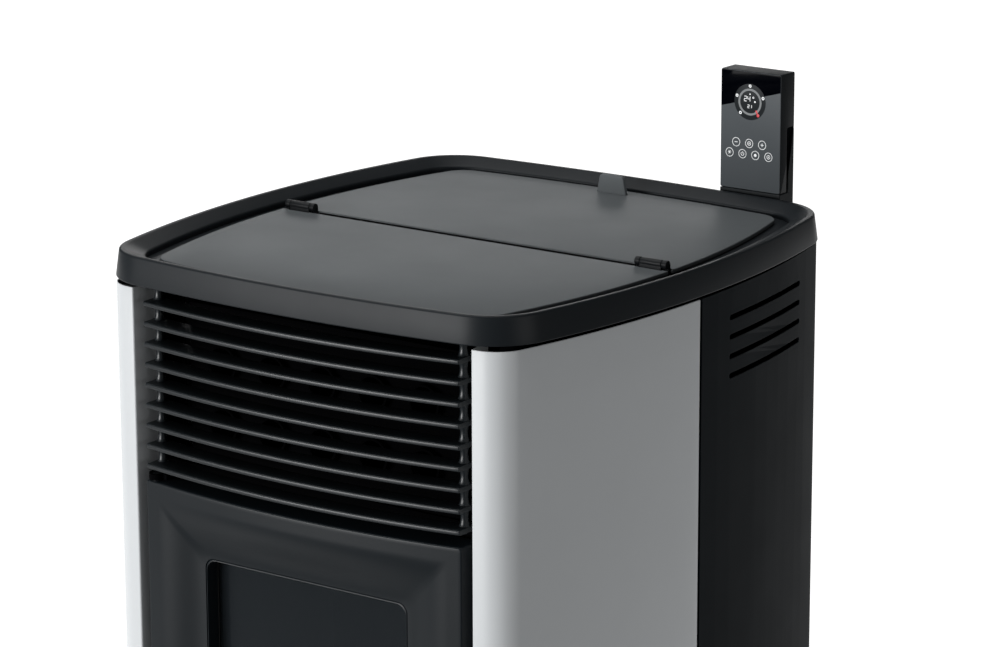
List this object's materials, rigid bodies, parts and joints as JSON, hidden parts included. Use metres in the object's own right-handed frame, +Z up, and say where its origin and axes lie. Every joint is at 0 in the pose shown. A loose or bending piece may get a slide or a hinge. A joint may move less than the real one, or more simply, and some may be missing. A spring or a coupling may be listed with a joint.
{
  "type": "pellet stove",
  "caption": "Free-standing pellet stove with a bowed front door, louvred warm-air grille, hinged hopper lid, ash drawer, rear flue outlet and a control panel in a cradle.",
  "frame": {"origin": "on the floor, under the middle of the whole stove's bounding box", "axes": "+Z up, -Y is the side with the door, +X is to the right when the door is faced"},
  "size_m": [0.5, 0.5674, 1.064],
  "materials": {
    "frame_black": "fine satin black paint on a cast frame",
    "lid_grey": "matt anthracite powder coat",
    "fitting_black": "satin black",
    "seal_rubber": "matt black silicone",
    "panel_light": "smooth metallic light grey powder coat",
    "panel_black": "fine textured black powder coat",
    "front_black": "matt black stove paint",
    "grille_black": "matt black stove paint on cast slats",
    "door_black": "matt black stove paint on a cast door",
    "door_glass": "clear glass ceramic",
    "rope_seal": "braided glass rope",
    "zinc_steel": "galvanised sheet",
    "bright_steel": "machined steel",
    "stove_steel": "heat-proof black paint on welded steel",
    "lining_board": "pressed vermiculite board",
    "pot_iron": "bare cast iron",
    "motor_grey": "laminated motor body",
    "fan_aluminium": "pressed aluminium",
    "board_green": "circuit board",
    "plastic_black": "moulded black",
    "switch_plastic": "moulded red",
    "remote_plastic": "fine matt black ABS",
    "remote_glass": "gloss black face with touch keys",
    "foot_rubber": "rubber pad on a threaded stud"
  },
  "bodies": {
    "cabinet": {"air_inlet": "zinc_steel", "auger_gearmotor": "motor_grey", "auger_tube": "zinc_steel", "back_panel": "panel_black", "base_plate": "zinc_steel", "burn_pot_holder": "stove_steel", "control_board": "board_green", "control_box": "zinc_steel", "corner_posts": "stove_steel", "drawer_runners": "zinc_steel", "exchanger_tubes": "stove_steel", "firebox_front_frame": "stove_steel", "firebox_lining": "lining_board", "firebox_shell": "stove_steel", "flame_baffle": "lining_board", "flue_outlet": "stove_steel", "grille_rods": "fitting_black", "grille_slats": "grille_black", "hopper": "stove_steel", "igniter": "bright_steel", "levelling_feet": "foot_rubber", "lid_hinge_barrels": "fitting_black", "lower_front_panel": "front_black", "panel_brackets": "stove_steel", "pellet_chute": "zinc_steel", "power_inlet": "plastic_black", "rear_side_left": "panel_black", "rear_side_right": "panel_black", "remote_cradle": "remote_plastic", "reset_thermostat": "plastic_black", "room_fan_housing": "zinc_steel", "room_fan_motor": "motor_grey", "side_panel_left": "panel_light", "side_panel_right": "panel_light", "smoke_fan_housing": "zinc_steel", "smoke_fan_motor": "motor_grey", "top_deck": "stove_steel", "top_frame": "frame_black", "top_panel_front": "lid_grey"},
    "lid": {"hopper_lid": "lid_grey", "lid_hinge_knuckles": "fitting_black", "lid_tab": "lid_grey", "lid_gasket": "seal_rubber"},
    "door": {"door_frame": "door_black", "door_hinge_pins": "bright_steel", "door_gaskets": "rope_seal", "door_glass": "door_glass", "glass_clips": "zinc_steel"},
    "latch": {"latch_shaft": "bright_steel", "door_handle": "fitting_black"},
    "drawer": {"ash_drawer": "zinc_steel", "ash_drawer_front": "front_black"},
    "pot": {"burn_pot": "pot_iron"},
    "auger": {"auger_screw": "bright_steel"},
    "smoke_wheel": {"smoke_fan_impeller": "bright_steel"},
    "room_drum": {"room_fan_rotor": "fan_aluminium"},
    "switch": {"power_switch": "switch_plastic"},
    "reset": {"reset_button": "switch_plastic"},
    "remote": {"remote_body": "remote_plastic", "remote_face": "remote_glass"}
  },
  "joints": [
    {"name": "lid_hinge", "type": "hinge", "parent": "cabinet", "child": "lid", "pos_m": [0, -0.0163, 0.9458], "axis": [1, 0, 0], "range_deg": [0, 95]},
    {"name": "door_hinge", "type": "hinge", "parent": "cabinet", "child": "door", "pos_m": [-0.163, -0.2633, 0.5391], "axis": [0, 0, -1], "range_deg": [0, 110]},
    {"name": "latch_turn", "type": "hinge", "parent": "door", "child": "latch", "pos_m": [0.15, -0.27087, 0.47], "axis": [0, 1, 0], "range_deg": [0, 75]},
    {"name": "ash_drawer_slide", "type": "slide", "parent": "cabinet", "child": "drawer", "axis": [0, -1, 0], "range_m": [0, 0.15]},
    {"name": "burn_pot_lift", "type": "slide", "parent": "cabinet", "child": "pot", "axis": [0, 0, 1], "range_m": [0, 0.06]},
    {"name": "auger_spin", "type": "hinge", "parent": "cabinet", "child": "auger", "pos_m": [0, 0.1357, 0.43], "axis": [0, -0.7071, 0.7071], "continuous": true},
    {"name": "smoke_fan_spin", "type": "hinge", "parent": "cabinet", "child": "smoke_wheel", "pos_m": [0.04, 0.0337, 0.2], "axis": [1, 0, 0], "continuous": true},
    {"name": "room_fan_spin", "type": "hinge", "parent": "cabinet", "child": "room_drum", "pos_m": [-0.152, 0.1337, 0.12], "axis": [1, 0, 0], "continuous": true},
    {"name": "power_switch_rock", "type": "hinge", "parent": "cabinet", "child": "switch", "pos_m": [-0.12, 0.2419, 0.121], "axis": [1, 0, 0], "range_deg": [-12, 12]},
    {"name": "reset_press", "type": "slide", "parent": "cabinet", "child": "reset", "axis": [0, -1, 0], "range_m": [0, 0.003], "stiffness_N_per_m": 400},
    {"name": "remote_lift", "type": "slide", "parent": "cabinet", "child": "remote", "axis": [0, 0, 1], "range_m": [0, 0.11]}
  ]
}
